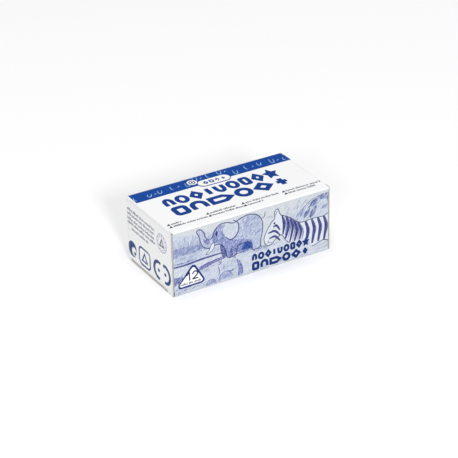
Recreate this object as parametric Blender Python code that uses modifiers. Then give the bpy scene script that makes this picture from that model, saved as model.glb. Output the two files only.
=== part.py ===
"""Folding carton of twelve triangular wax crayons: a reverse-tuck carton, its hinged end flaps and the crayons in it.

X runs along the carton, Y from its front to its back, Z up, in metres. The origin is the middle of the base.
Each fold of the board is a hinge on the outer corner of the fold, and an empty stands on its line.
The right end is the left end turned half a turn about the carton's Y axis, so both are made by the same functions.
"""

import math

import bmesh
import bpy
from mathutils import Matrix, Vector

MM = 0.001

# Carton: outer size and board.
LENGTH = 88.0 * MM
DEPTH = 45.0 * MM
HEIGHT = 34.5 * MM
BOARD = 0.45 * MM
GAP = 0.3 * MM
LAYER = BOARD + GAP

# End flaps. A closure hangs from its fold and ends in a tuck, with the two dust flaps behind it.
CLOSURE_WIDTH = DEPTH - 0.8 * MM
TUCK_FOLD_HEIGHT = 2 * BOARD
TUCK_LENGTH = 6.5 * MM
TUCK_WIDTH = DEPTH - 3.4 * MM
TUCK_RISE = math.radians(6.0)
TUCK_ROOT = BOARD * math.sin(TUCK_RISE)
TUCK_TAPER = 1.0 * MM
TUCK_CORNER = 3.0 * MM
DUST_LENGTH = 16.0 * MM
DUST_FOOT = 2.2 * MM
DUST_HEAD = HEIGHT - 1.2 * MM
DUST_MITRE = math.radians(40.0)
DUST_TAPER = math.radians(5.0)
DUST_CORNER = 2.0 * MM

# Glue flap, inside the back panel.
GLUE_FLAP_LENGTH = LENGTH - 6.0 * MM
GLUE_FLAP_HEIGHT = 12.25 * MM

# Crayons: a section with three round corners, given by the corners' radius and the triangle of their centres.
CRAYON_LENGTH = 83.0 * MM
CORE_SIDE = 4.4 * MM
WRAPPED_RADIUS = 3.1 * MM
WRAPPER_WALL = 0.2 * MM
WRAPPER_GAP = 0.15 * MM
WAX_RADIUS = WRAPPED_RADIUS - WRAPPER_WALL - WRAPPER_GAP
TIP_CORE_SIDE = 0.8 * MM
TIP_RADIUS = 1.3 * MM
TIP_TAPER = 11.0 * MM
TIP_EDGE = 0.5 * MM
END_CHAMFER = 0.5 * MM
WRAPPER_FROM_TIP = 16.0 * MM
WRAPPER_FROM_END = 4.0 * MM
CORNER_STEPS = 6

# Stack of crayons: they lie side by side, turned point up and point down by turns.
ROWS = 3
COLUMNS = 4
COLUMN_PITCH = 10.5 * MM
STACK_FLOOR = BOARD + GAP
STACK_MIDDLE = -LAYER / 2
CRAYON_HEIGHT = CORE_SIDE * math.sqrt(3) / 2 + 2 * WRAPPED_RADIUS
CENTRE_TO_FACE = CORE_SIDE / (2 * math.sqrt(3)) + WRAPPED_RADIUS

BOARD_COLOUR = (0.86, 0.87, 0.91, 1.0)
INSIDE_COLOUR = (0.72, 0.71, 0.68, 1.0)
WAX_COLOUR = (0.02, 0.10, 0.42, 1.0)
WRAPPER_COLOUR = (0.05, 0.19, 0.55, 1.0)


def clear_scene():
    """Remove every object that the file starts with."""
    for obj in list(bpy.data.objects):
        bpy.data.objects.remove(obj, do_unlink=True)


def make_material(name, colour, roughness):
    """A plain Principled material."""
    material = bpy.data.materials.new(name)
    material.use_nodes = True
    shader = material.node_tree.nodes["Principled BSDF"]
    shader.inputs["Base Color"].default_value = colour
    shader.inputs["Roughness"].default_value = roughness
    shader.inputs["Metallic"].default_value = 0.0
    return material


def add_object(name, data, parent=None, matrix=None):
    """Link an object that sits at matrix in its parent's space."""
    obj = bpy.data.objects.new(name, data)
    collection.objects.link(obj)
    obj.parent = parent
    obj.matrix_local = matrix or Matrix.Identity(4)
    return obj


def add_axis(name, at, parent=None):
    """An empty on a fold line."""
    return add_object(name, None, parent, Matrix.Translation(at))


def add_board(name, low, high, material, parent=None):
    """A flat panel between two corners of a box, in its parent's space."""
    size = Vector(high) - Vector(low)
    shape = bmesh.new()
    bmesh.ops.create_cube(shape, size=1.0, matrix=Matrix.Diagonal(size.to_4d()))
    mesh = bpy.data.meshes.new(name)
    shape.to_mesh(mesh)
    shape.free()
    mesh.materials.append(material)
    middle = (Vector(low) + Vector(high)) / 2
    return add_object(name, mesh, parent, Matrix.Translation(middle))


def rounded(outline, steps=4):
    """The outline with each corner that has a radius turned into an arc. A corner is (x, y, radius)."""
    points = []
    for index, (x, y, radius) in enumerate(outline):
        corner = Vector((x, y))
        if not radius:
            points.append(corner)
            continue
        before = (Vector(outline[index - 1][:2]) - corner).normalized()
        after = (Vector(outline[(index + 1) % len(outline)][:2]) - corner).normalized()
        half = before.angle(after) / 2
        centre = corner + (before + after).normalized() * radius / math.sin(half)
        start = corner + before * radius / math.tan(half) - centre
        turn = (math.pi - 2 * half) * (1 if before.cross(after) < 0 else -1)
        for step in range(steps + 1):
            points.append(centre + Matrix.Rotation(turn * step / steps, 2) @ start)
    return points


def add_flap(name, outline, matrix, material, parent):
    """A flat flap cut to an outline. Its board is centred on the matrix's XY plane."""
    curve = bpy.data.curves.new(name, "CURVE")
    curve.dimensions = "2D"
    curve.fill_mode = "BOTH"
    curve.extrude = BOARD / 2
    points = rounded(outline)
    spline = curve.splines.new("POLY")
    spline.points.add(len(points) - 1)
    for target, point in zip(spline.points, points):
        target.co = (point.x, point.y, 0.0, 1.0)
    spline.use_cyclic_u = True
    curve.materials.append(material)
    return add_object(name, curve, parent, matrix)


def axes_matrix(x_axis, y_axis, origin):
    """A frame with the given X and Y axes, which are square to each other."""
    x, y = Vector(x_axis), Vector(y_axis)
    return Matrix.Translation(origin) @ Matrix((x, y, x.cross(y))).transposed().to_4x4()


def make_body_panels(board, inside):
    """The four walls of the sleeve and the strip that glues it shut."""
    end = LENGTH / 2
    side = DEPTH / 2
    wall_end = end - 2 * LAYER
    add_board("top_panel", (-end + LAYER, -side, HEIGHT - BOARD), (end, side, HEIGHT), board)
    add_board("bottom_panel", (-end, -side, 0.0), (end - LAYER, side, BOARD), board)
    add_board("front_panel", (-wall_end, -side, LAYER), (wall_end, -side + BOARD, HEIGHT - LAYER), board)
    add_board("back_panel", (-wall_end, side - BOARD, LAYER), (wall_end, side, HEIGHT - LAYER), board)
    glue_end = GLUE_FLAP_LENGTH / 2
    glue_side = side - LAYER
    add_board(
        "glue_flap",
        (-glue_end, glue_side - BOARD, LAYER),
        (glue_end, glue_side, LAYER + GLUE_FLAP_HEIGHT),
        inside,
    )


def make_closure(side_name, end_frame, board):
    """The end panel that hangs from the fold at its top, and the tuck on its lower edge."""
    fold = add_axis(f"closure_{side_name}_axis", (-LENGTH / 2, 0.0, HEIGHT), end_frame)
    drop = HEIGHT - TUCK_FOLD_HEIGHT
    half = CLOSURE_WIDTH / 2
    add_board(f"closure_{side_name}", (0.0, -half, -drop + LAYER), (BOARD, half, 0.0), board, fold)
    tuck_fold = add_axis(f"tuck_{side_name}_axis", (0.0, 0.0, -drop), fold)
    tuck_half = TUCK_WIDTH / 2
    outline = [
        (TUCK_ROOT, -tuck_half, 0.0),
        (TUCK_LENGTH, -tuck_half + TUCK_TAPER, TUCK_CORNER),
        (TUCK_LENGTH, tuck_half - TUCK_TAPER, TUCK_CORNER),
        (TUCK_ROOT, tuck_half, 0.0),
    ]
    tilt = Matrix.Rotation(-TUCK_RISE, 4, "Y")
    middle = Matrix.Translation((0.0, 0.0, BOARD / 2))
    add_flap(f"tuck_{side_name}", outline, tilt @ middle, board, tuck_fold)


def make_dust_flap(name, end_frame, side, board):
    """A dust flap on the front (side -1) or back (side 1) wall, with its mitred edge towards the closure's fold."""
    fold_x = -LENGTH / 2 + LAYER
    fold = add_axis(f"{name}_axis", (fold_x, side * DEPTH / 2, 0.0), end_frame)
    outline = [
        (0.0, DUST_FOOT, 0.0),
        (DUST_LENGTH, DUST_FOOT + DUST_LENGTH * math.tan(DUST_TAPER), DUST_CORNER),
        (DUST_LENGTH, DUST_HEAD - DUST_LENGTH * math.tan(DUST_MITRE), DUST_CORNER),
        (0.0, DUST_HEAD, 0.0),
    ]
    matrix = axes_matrix((0.0, -side, 0.0), (0.0, 0.0, 1.0), (BOARD / 2, 0.0, 0.0))
    add_flap(name, outline, matrix, board, fold)


def make_end(side_name, end_frame, board):
    """One end of the carton, in a frame whose closure folds down from the top at -X."""
    make_closure(side_name, end_frame, board)
    make_dust_flap(f"dust_flap_{side_name}_front", end_frame, -1, board)
    make_dust_flap(f"dust_flap_{side_name}_back", end_frame, 1, board)


def triangle_section(core_side, radius):
    """Points round a triangle with round corners, centred on its centroid, with one corner at the top."""
    points = []
    for corner in range(3):
        facing = math.radians(90.0 + 120.0 * corner)
        centre = Vector((math.cos(facing), math.sin(facing))) * core_side / math.sqrt(3)
        for step in range(CORNER_STEPS + 1):
            angle = facing + math.radians(120.0 * (step / CORNER_STEPS - 0.5))
            points.append(centre + Vector((math.cos(angle), math.sin(angle))) * radius)
    return points


def loft(stations, capped):
    """A mesh skinned over sections square to X. A station is (x, points), from the tip to the blunt end."""
    shape = bmesh.new()
    rings = [[shape.verts.new((x, p.x, p.y)) for p in points] for x, points in stations]
    for first, second in zip(rings, rings[1:]):
        for index in range(len(first)):
            following = (index + 1) % len(first)
            shape.faces.new((first[index], first[following], second[following], second[index]))
    if capped:
        shape.faces.new(rings[0][::-1])
        shape.faces.new(rings[-1])
    bmesh.ops.recalc_face_normals(shape, faces=shape.faces[:])
    mesh = bpy.data.meshes.new("crayon_piece")
    shape.to_mesh(mesh)
    shape.free()
    return mesh


def wax_mesh(wax):
    """A stick of wax: a long prism with a conical tip at -X and a small chamfer round its blunt end."""
    tip = -CRAYON_LENGTH / 2
    end = CRAYON_LENGTH / 2
    mesh = loft(
        [
            (tip, triangle_section(TIP_CORE_SIDE, TIP_RADIUS - TIP_EDGE)),
            (tip + TIP_EDGE, triangle_section(TIP_CORE_SIDE, TIP_RADIUS)),
            (tip + TIP_TAPER, triangle_section(CORE_SIDE, WAX_RADIUS)),
            (end - END_CHAMFER, triangle_section(CORE_SIDE, WAX_RADIUS)),
            (end, triangle_section(CORE_SIDE, WAX_RADIUS - END_CHAMFER)),
        ],
        capped=True,
    )
    mesh.materials.append(wax)
    mesh.shade_smooth()
    mesh.set_sharp_from_angle(angle=math.radians(30.0))
    return mesh


def wrapper_mesh(wrapper):
    """The middle surface of a paper wrapper, open at both ends."""
    section = triangle_section(CORE_SIDE, WRAPPED_RADIUS - WRAPPER_WALL / 2)
    mesh = loft(
        [
            (-CRAYON_LENGTH / 2 + WRAPPER_FROM_TIP, section),
            (CRAYON_LENGTH / 2 - WRAPPER_FROM_END, section),
        ],
        capped=False,
    )
    mesh.materials.append(wrapper)
    mesh.shade_smooth()
    return mesh


def make_crayons(wax, wrapper):
    """Three rows of four crayons. Each has an empty at its centre, with its stick and its wrapper on it."""
    stick = wax_mesh(wax)
    sleeve = wrapper_mesh(wrapper)
    for row in range(ROWS):
        for column in range(COLUMNS):
            name = f"crayon_{row * COLUMNS + column + 1:02d}"
            point_up = (row + column) % 2 == 0
            y = STACK_MIDDLE + (column - (COLUMNS - 1) / 2) * COLUMN_PITCH
            centre = CENTRE_TO_FACE if point_up else CRAYON_HEIGHT - CENTRE_TO_FACE
            z = STACK_FLOOR + row * (CRAYON_HEIGHT + GAP) + centre
            axis = add_axis(f"{name}_axis", (0.0, y, z))
            turn = Matrix.Rotation(0.0 if point_up else math.pi, 4, "X")
            add_object(f"{name}_wax", stick, axis, turn)
            tube = add_object(f"{name}_wrapper", sleeve, axis, turn)
            wall = tube.modifiers.new("wall", "SOLIDIFY")
            wall.thickness = WRAPPER_WALL
            wall.offset = 0.0
            wall.use_even_offset = True


clear_scene()
collection = bpy.data.collections.new("crayon_carton")
bpy.context.scene.collection.children.link(collection)
printed_board = make_material("printed_board", BOARD_COLOUR, 0.45)
bare_board = make_material("bare_board", INSIDE_COLOUR, 0.9)
make_body_panels(printed_board, bare_board)
make_end("left", add_axis("left_end_frame", (0.0, 0.0, 0.0)), printed_board)
half_turn = Matrix.Translation((0.0, 0.0, HEIGHT)) @ Matrix.Rotation(math.pi, 4, "Y")
make_end("right", add_object("right_end_frame", None, None, half_turn), printed_board)
make_crayons(make_material("crayon_wax", WAX_COLOUR, 0.4), make_material("wrapper_paper", WRAPPER_COLOUR, 0.7))
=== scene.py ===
"""Looks of the crayon carton: the folded, printed board, the crayons in it, and the studio round it.

Flat artwork and outlines are in millimetres, like the board they are printed on. Each piece of board is a
flat sheet cut into triangles along its print, and a function from the sheet to the frame folds it into place.
"""

import math
import random

import bmesh
import bpy
import numpy as np
from mathutils import Matrix, Vector
from mathutils.geometry import delaunay_2d_cdt


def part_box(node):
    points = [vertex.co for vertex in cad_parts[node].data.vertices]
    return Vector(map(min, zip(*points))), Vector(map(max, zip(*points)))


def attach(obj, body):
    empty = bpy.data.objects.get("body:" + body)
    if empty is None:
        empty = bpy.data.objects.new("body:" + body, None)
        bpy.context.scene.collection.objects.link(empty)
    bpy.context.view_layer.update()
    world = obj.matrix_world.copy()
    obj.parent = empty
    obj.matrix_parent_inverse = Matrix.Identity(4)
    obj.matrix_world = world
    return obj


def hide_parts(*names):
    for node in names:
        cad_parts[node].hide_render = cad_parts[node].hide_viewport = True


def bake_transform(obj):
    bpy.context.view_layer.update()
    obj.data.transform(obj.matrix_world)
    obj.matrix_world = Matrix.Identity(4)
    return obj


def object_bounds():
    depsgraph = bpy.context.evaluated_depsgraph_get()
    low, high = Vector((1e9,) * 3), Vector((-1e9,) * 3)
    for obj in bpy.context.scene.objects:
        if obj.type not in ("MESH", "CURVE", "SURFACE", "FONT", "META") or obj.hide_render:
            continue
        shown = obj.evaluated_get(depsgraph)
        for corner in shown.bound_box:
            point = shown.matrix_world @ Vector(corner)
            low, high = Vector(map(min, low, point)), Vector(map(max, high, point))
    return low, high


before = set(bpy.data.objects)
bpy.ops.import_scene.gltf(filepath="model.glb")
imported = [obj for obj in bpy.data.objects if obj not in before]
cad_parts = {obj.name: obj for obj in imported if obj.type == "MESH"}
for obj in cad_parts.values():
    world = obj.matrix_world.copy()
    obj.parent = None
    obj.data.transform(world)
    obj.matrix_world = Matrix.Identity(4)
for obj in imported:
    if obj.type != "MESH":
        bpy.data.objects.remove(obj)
cad_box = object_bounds()

MM = 0.001
LOW, HIGH = cad_box
LENGTH, DEPTH, HEIGHT = [side / MM for side in HIGH - LOW]
HALF_LENGTH = LENGTH / 2
HALF_DEPTH = DEPTH / 2


def node_box(node):
    """A CAD node's lowest and highest corners, in millimetres."""
    low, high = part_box(node)
    return low / MM, high / MM


BOARD = node_box("top_panel")[1].z - node_box("top_panel")[0].z
LAYER = node_box("top_panel")[0].x + HALF_LENGTH
CREASE_RADIUS = 0.5
GLUE_LINE = 0.02
# Gaps in the board: beside and behind a closure, at a crease that opens, and under the back wall's foot.
EDGE_GAP = 0.1
CREASE_GAP = 0.02
BACK_FOOT = 0.4
GLUE_MITRE = (1.6, 3.0)
# How far the print runs past a wall's edge, and the bare board above the picture.
PICTURE_BLEED = 0.2
BAND_BLEED = 0.35
PICTURE_MARGIN = 0.9
# How much of a closure's free edge is a shoulder that covers the panel it meets, at its front and its back.
SHOULDERS = {"left": (5.5, 2.2), "right": (3.0, 3.0)}
# How far a closure bows outwards, and how far up it bows the most.
BULGE = {"left": 0.12, "right": 1.2}
BULGE_AT = {"left": 0.5, "right": 0.62}
CLOSURE_FOOT = 0.12
TUCK_CORNER = 2.6
TUCK_TAPER = 0.8
DUST_CORNER = 1.9
DUST_MITRE = 40.0
DUST_TAPER = 5.0


# ---------------------------------------------------------------- camera

FOCAL_LENGTH = 146.7
SENSOR = 36.0
AZIMUTH = math.radians(-29.98)
ELEVATION = math.radians(28.36)
ROLL = math.radians(-1.28)
DISTANCE = 910.5
OFFSET_RIGHT = 0.06
OFFSET_UP = -3.04


def way_out(azimuth, elevation):
    """A direction from the carton. Azimuth 0 is in front, and a positive one is towards the right end."""
    return Vector((
        math.sin(azimuth) * math.cos(elevation),
        -math.cos(azimuth) * math.cos(elevation),
        math.sin(elevation),
    ))


def make_camera():
    """The camera looks along one fixed direction, a little aside of the carton's middle."""
    data = bpy.data.cameras.new("camera")
    data.lens = FOCAL_LENGTH
    data.sensor_width = SENSOR
    data.clip_start = 0.05
    data.clip_end = 20.0
    camera = bpy.data.objects.new("camera", data)
    bpy.context.scene.collection.objects.link(camera)
    back = way_out(AZIMUTH, ELEVATION)
    right = (-back).cross(Vector((0, 0, 1))).normalized()
    up = right.cross(-back)
    rolled_right = right * math.cos(ROLL) + up * math.sin(ROLL)
    rolled_up = up * math.cos(ROLL) - right * math.sin(ROLL)
    middle = Vector((0, 0, HEIGHT / 2))
    place = middle + back * DISTANCE + rolled_right * OFFSET_RIGHT + rolled_up * OFFSET_UP
    turn = Matrix((rolled_right, rolled_up, back)).transposed().to_4x4()
    camera.matrix_world = Matrix.Translation(place * MM) @ turn
    bpy.context.scene.camera = camera


# ---------------------------------------------------------------- colours

def linear(red, green, blue):
    """A colour given as screen values from 0 to 255, as linear light."""
    return tuple(
        c / 12.92 if c <= 0.04045 else ((c + 0.055) / 1.055) ** 2.4
        for c in (red / 255, green / 255, blue / 255)
    )


PAPER = (243, 243, 244)
INKS = {
    "paper": PAPER,
    "inside": (176, 171, 163),
    # The cut edges' ink is partly the grey of the board's core and partly painted shade, darker than bare
    # board to give the shadow lines along the carton's edges and gaps.
    "shaded_cut_edge": (84, 82, 80),
    "band": (0, 66, 152),
    "band_mark": (150, 188, 236),
    "title": (0, 58, 138),
    "title_deep": (0, 42, 110),
    "mark": (4, 58, 118),
    "small_text": (58, 60, 82),
    "bullet": (26, 28, 54),
    "seal": (186, 182, 206),
    "seal_dark": (90, 94, 120),
    "sky": (192, 198, 203),
    "wash": (172, 183, 200),
    "wash_mid": (130, 143, 182),
    "wash_deep": (80, 95, 156),
    "grass": (70, 86, 154),
    "grass_deep": (52, 68, 142),
    "ground": (182, 190, 203),
    "ground_line": (44, 60, 130),
    "violet": (88, 88, 158),
    "elephant": (147, 160, 190),
    "hatch": (84, 98, 158),
    "elephant_head": (92, 108, 170),
    "elephant_dark": (70, 86, 158),
    "elephant_deep": (30, 48, 128),
    "ear": (180, 188, 203),
    "outline": (34, 46, 108),
    "zebra": (206, 212, 220),
    "stripe": (34, 42, 112),
    "stripe_pale": (92, 104, 162),
    "leaf": (62, 80, 142),
    "leaf_pale": (124, 138, 176),
    "swatch": (0, 62, 146),
    "badge_line": (14, 44, 118),
    "number": (34, 40, 78),
    "wrap": (34, 96, 184),
    "wrap_dark": (8, 44, 122),
    "wrap_pale": (196, 212, 240),
}
# Inks that are laid on like soft crayon, with the tooth of the paper showing, and how strongly.
CRAYON_TOOTH = {
    "sky": 0.3, "wash": 0.7, "wash_mid": 0.7, "wash_deep": 0.6, "grass": 0.3, "grass_deep": 0.3,
    "ground": 0.7, "ground_line": 0.25, "violet": 0.6, "elephant": 0.8, "hatch": 0.4, "elephant_head": 0.7,
    "elephant_dark": 0.6, "elephant_deep": 0.4, "ear": 0.6, "outline": 0.12, "zebra": 0.2, "stripe": 0.15,
    "stripe_pale": 0.4, "leaf": 0.6, "leaf_pale": 0.7, "swatch": 0.1,
}


# ---------------------------------------------------------------- flat shapes

def direction(angle):
    return Vector((math.cos(angle), math.sin(angle)))


def leftward(angle):
    return Vector((-math.sin(angle), math.cos(angle)))


def circle(cx, cy, radius, steps=28, start=0.0, turn=360.0):
    """Points along an arc, or round a whole circle."""
    count = steps if abs(turn) >= 360 else steps + 1
    angles = [math.radians(start + turn * i / steps) for i in range(count)]
    return [(cx + radius * math.cos(a), cy + radius * math.sin(a)) for a in angles]


def box_points(x0, y0, x1, y1):
    return [(x0, y0), (x1, y0), (x1, y1), (x0, y1)]


def rounded(corners, radius, steps=5):
    """A polygon's points, anticlockwise, with each corner turned into an arc of the given radius."""
    points = []
    for index, corner in enumerate(corners):
        corner = Vector(corner)
        before = (Vector(corners[index - 1]) - corner).normalized()
        after = (Vector(corners[(index + 1) % len(corners)]) - corner).normalized()
        half = before.angle(after) / 2
        centre = corner + (before + after).normalized() * radius / math.sin(half)
        start = corner + before * radius / math.tan(half) - centre
        turn = (math.pi - 2 * half) * (1 if before.cross(after) < 0 else -1)
        for step in range(steps + 1):
            points.append(tuple(centre + Matrix.Rotation(turn * step / steps, 2) @ start))
    return points


def smooth(points, closed=False, steps=5):
    """A Catmull-Rom curve through the points."""
    count = len(points)
    result = []
    spans = count if closed else count - 1
    for i in range(spans):
        if closed:
            a, b, c, d = (Vector(points[(i + k) % count]) for k in (-1, 0, 1, 2))
        else:
            b, c = Vector(points[i]), Vector(points[i + 1])
            a = Vector(points[i - 1]) if i else b * 2 - c
            d = Vector(points[i + 2]) if i + 2 < count else c * 2 - b
        for step in range(steps):
            t = step / steps
            blend = (2 * b + (c - a) * t + (2 * a - 5 * b + 4 * c - d) * t * t
                     + (3 * b - a - 3 * c + d) * t ** 3) / 2
            result.append(tuple(blend))
    if not closed:
        result.append(tuple(points[-1]))
    return result


class Print:
    """Ink shapes in paint order, in millimetres from a panel's lower left corner, as seen from outside."""

    def __init__(self, seed=0):
        self.shapes = []
        self.rng = random.Random(seed)

    def fill(self, ink, points):
        self.shapes.append((ink, [tuple(p) for p in points]))

    def line(self, ink, points, width, closed=False, taper=0.0):
        """A pen line as a run of four-sided pieces. An open line's ends lose taper, a share of its width."""
        path = [Vector(p) for p in points]
        count = len(path)
        sides = []
        for i, point in enumerate(path):
            before = path[i - 1] if i or closed else path[i]
            after = path[(i + 1) % count] if i + 1 < count or closed else path[i]
            ahead = (after - point).normalized() if after != point else (point - before).normalized()
            behind = (point - before).normalized() if point != before else ahead
            along = (ahead + behind).normalized()
            across = Vector((-along.y, along.x))
            miter = 1.0 / max(0.5, along.dot(ahead))
            share = 1.0
            if not closed and taper:
                share = 1.0 - taper * abs(2.0 * i / (count - 1) - 1.0) ** 2
            offset = across * width / 2 * share * miter
            sides.append((tuple(point + offset), tuple(point - offset)))
        for i in range(count if closed else count - 1):
            (a, b), (c, d) = sides[i], sides[(i + 1) % count]
            self.fill(ink, [b, d, c, a])

    def blob(self, ink, points, steps=4):
        """A filled shape with a smooth outline."""
        self.fill(ink, smooth(points, True, steps))

    def stroke(self, ink, points, width, taper=0.5, steps=5):
        """A smooth open pen line."""
        self.line(ink, smooth(points, False, steps), width, taper=taper)

    def lay(self, source, move):
        """Another print's shapes, with each point moved."""
        for ink, points in source.shapes:
            self.fill(ink, [move(*p) for p in points])

    def pencil(self, ink, region, count, lean, length, width):
        """Loose pencil strokes in a box of the panel, all with about the same lean."""
        x0, y0, x1, y1 = region
        for _ in range(count):
            x, y = self.rng.uniform(x0, x1), self.rng.uniform(y0, y1)
            reach = length * self.rng.uniform(0.6, 1.2)
            angle = math.radians(lean + self.rng.uniform(-7, 7))
            end = (x + reach * math.cos(angle), y + reach * math.sin(angle))
            middle = tuple((a + b) / 2 + self.rng.uniform(-0.15, 0.15) for a, b in zip((x, y), end))
            self.line(ink, [(x, y), middle, end], width * self.rng.uniform(0.6, 1.2), taper=0.7)

    def small_text(self, ink, x0, x1, y, height):
        """A line of print too small to read: words of upright ticks."""
        x = x0
        while x < x1:
            word_end = min(x1, x + self.rng.uniform(2.0, 5.4) * height)
            while x < word_end:
                width = height * self.rng.uniform(0.3, 0.5)
                rise = height * self.rng.choice((0.66, 0.74, 1.0))
                self.fill(ink, box_points(x, y, min(x + width, word_end), y + rise))
                x += width + height * 0.17
            x = word_end + height * 0.45


# ---------------------------------------------------------------- artwork

def star(points=5, inner=0.48):
    """A star's outline in a unit square."""
    corners = []
    for i in range(2 * points):
        angle, reach = math.pi * i / points, 0.5 * (inner if i % 2 else 1.0)
        corners.append((0.5 + reach * math.sin(angle), 0.5 + reach * math.cos(angle)))
    return corners


def sign_runs(kind):
    """A plain sign, used where lettering would be, as (points, closed) pen runs in a unit square."""
    runs = {
        "ring": [(circle(0.5, 0.5, 0.5, 22), True)],
        "square": [(rounded(box_points(0.0, 0.0, 1.0, 1.0), 0.2, 3), True)],
        "diamond": [([(0.5, 0.0), (1.0, 0.5), (0.5, 1.0), (0.0, 0.5)], True)],
        "arch": [([(0.0, 0.0)] + circle(0.5, 0.5, 0.5, 10, 180, -180) + [(1.0, 0.0)], False)],
        "cup": [([(0.0, 1.0)] + circle(0.5, 0.5, 0.5, 10, 180, 180) + [(1.0, 1.0)], False)],
        "roof": [([(0.0, 0.35), (0.5, 1.0), (1.0, 0.35)], False), ([(0.3, 0.0), (0.7, 0.0)], False)],
        "plus": [([(0.5, 0.0), (0.5, 1.0)], False), ([(0.0, 0.5), (1.0, 0.5)], False)],
        "star": [(star(), True)],
        "crayon": [([(0.0, 0.12), (0.66, 0.12), (1.0, 0.5), (0.66, 0.88), (0.0, 0.88)], True)],
    }
    return runs[kind]


def sign_row(art, ink, kinds, x0, x1, y, height, gap, pen):
    """A row of bold signs that fills a line from x0 to x1, like a title's words. A sign is (kind, width)."""
    total = sum(width for _, width in kinds)
    unit = (x1 - x0 - gap * (len(kinds) - 1)) / total
    x = x0
    for kind, width in kinds:
        span = unit * width
        for points, closed in sign_runs(kind):
            left, foot = x + pen / 2, y + pen / 2
            inner = [(left + px * (span - pen), foot + py * (height - pen)) for px, py in points]
            art.line(ink, inner, pen, closed)
        x += span + gap


FIRST_ROW = (
    ("arch", 0.95), ("ring", 1.15), ("diamond", 1.15), ("plus", 0.8), ("cup", 1.0), ("ring", 1.1),
    ("square", 0.95), ("diamond", 1.1), ("star", 1.1),
)
SECOND_ROW = (
    ("square", 1.0), ("arch", 1.1), ("crayon", 1.6), ("ring", 1.15), ("diamond", 1.25), ("plus", 1.0),
)
CAPSULE_ROW = (("diamond", 1.0), ("square", 0.9), ("roof", 1.0), ("plus", 0.9))


def top_print():
    """A blue band at the back of a white panel, a capsule, two rows of signs and four notes."""
    art = Print(3)
    edge = DEPTH * 0.787
    art.fill("band", box_points(0.0, edge, LENGTH, DEPTH + 1.0))
    for i in range(13):
        x = 1.6 + i * 6.9 + art.rng.uniform(-0.8, 0.8)
        y = edge + art.rng.uniform(1.0, 3.0)
        if abs(x - 42.0) < 11.0:
            y = edge + 5.2
        tall = art.rng.uniform(3.0, 4.6)
        hook = [(x + 0.6, y + tall), (x, y + 0.9), (x + 0.9, y)]
        if i % 3:
            hook += [(x + 1.9, y + 1.0), (x + 2.6, y + tall * 0.8)]
        art.stroke("band_mark", hook, 0.5)
        if i % 2:
            art.stroke("band_mark", [(x + 3.6, y + 0.6), (x + 4.4, y + 1.7), (x + 5.0, y + 1.2)], 0.4)
    art.fill("title", rounded(box_points(34.7, 32.6, 53.0, 39.6), 3.4, 9))
    art.fill("paper", rounded(box_points(35.4, 33.4, 52.8, 39.5), 3.0, 9))
    art.fill("title", circle(33.8, 40.1, 3.0))
    art.fill("paper", circle(33.8, 40.1, 2.6))
    art.line("title", circle(33.8, 40.1, 1.5, 18), 0.6, True)
    art.fill("title", circle(33.8, 40.1, 0.6, 12))
    sign_row(art, "title", CAPSULE_ROW, 38.0, 50.6, 34.9, 3.0, 0.55, 0.85)
    sign_row(art, "title", FIRST_ROW, 11.0, 74.5, 23.1, 8.6, 0.75, 2.3)
    sign_row(art, "title", SECOND_ROW, 11.0, 75.5, 12.8, 9.4, 1.0, 2.7)
    for x, *lengths in ((1.6, 5.6, 18.6), (22.8, 14.4, 17.6), (42.2, 18.6, 8.6), (65.0, 19.6, 15.2)):
        for y, length in zip((7.1, 4.7), lengths):
            art.fill("bullet", [(x, y - 0.1), (x + 2.1, y - 0.1), (x + 1.7, y + 1.8)])
            art.small_text("small_text", x + 2.7, x + 2.7 + length, y, 1.5)
    return art


def end_print():
    """Five lines of small print, a faint seal and a row of plain marks."""
    art = Print(11)
    lines = ((27.9, 0.7, 28.0), (25.5, 0.7, 28.2), (23.0, 0.7, 27.6), (20.8, 0.7, 28.4), (18.1, 4.6, 21.4))
    for y, x0, x1 in lines:
        art.small_text("seal_dark", x0, x1, y, 1.45)
    cx, cy = 35.2, 24.6
    art.line("seal", circle(cx, cy, 4.7, 30), 0.6, True)
    art.line("seal", circle(cx, cy, 3.5, 26), 0.4, True)
    art.line("seal_dark", [(cx - 1.9, cy - 1.5), (cx, cy + 2.0), (cx + 1.9, cy - 1.5)], 0.85, True)
    for angle in range(0, 360, 30):
        x, y = cx + 4.1 * math.cos(math.radians(angle)), cy + 4.1 * math.sin(math.radians(angle))
        art.fill("seal_dark", circle(x, y, 0.28, 6))
    art.fill("mark", circle(4.6, 7.5, 4.3))
    art.fill("paper", circle(6.2, 6.5, 2.45))
    art.fill("mark", circle(7.0, 5.8, 1.0, 14))
    art.line("mark", rounded(box_points(11.5, 3.4, 22.5, 12.7), 2.4), 1.0, True)
    art.line("mark", [(14.4, 5.9), (19.6, 5.9), (17.0, 10.3)], 0.95, True)
    for x, y, start, turn in ((31.2, 8.3, 66, 214), (37.6, 8.7, 114, -214)):
        art.line("mark", circle(x, y, 4.5, 20, start, turn), 1.95, taper=0.25)
        art.fill("mark", circle(x, y, 1.0, 14))
    return art


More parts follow.
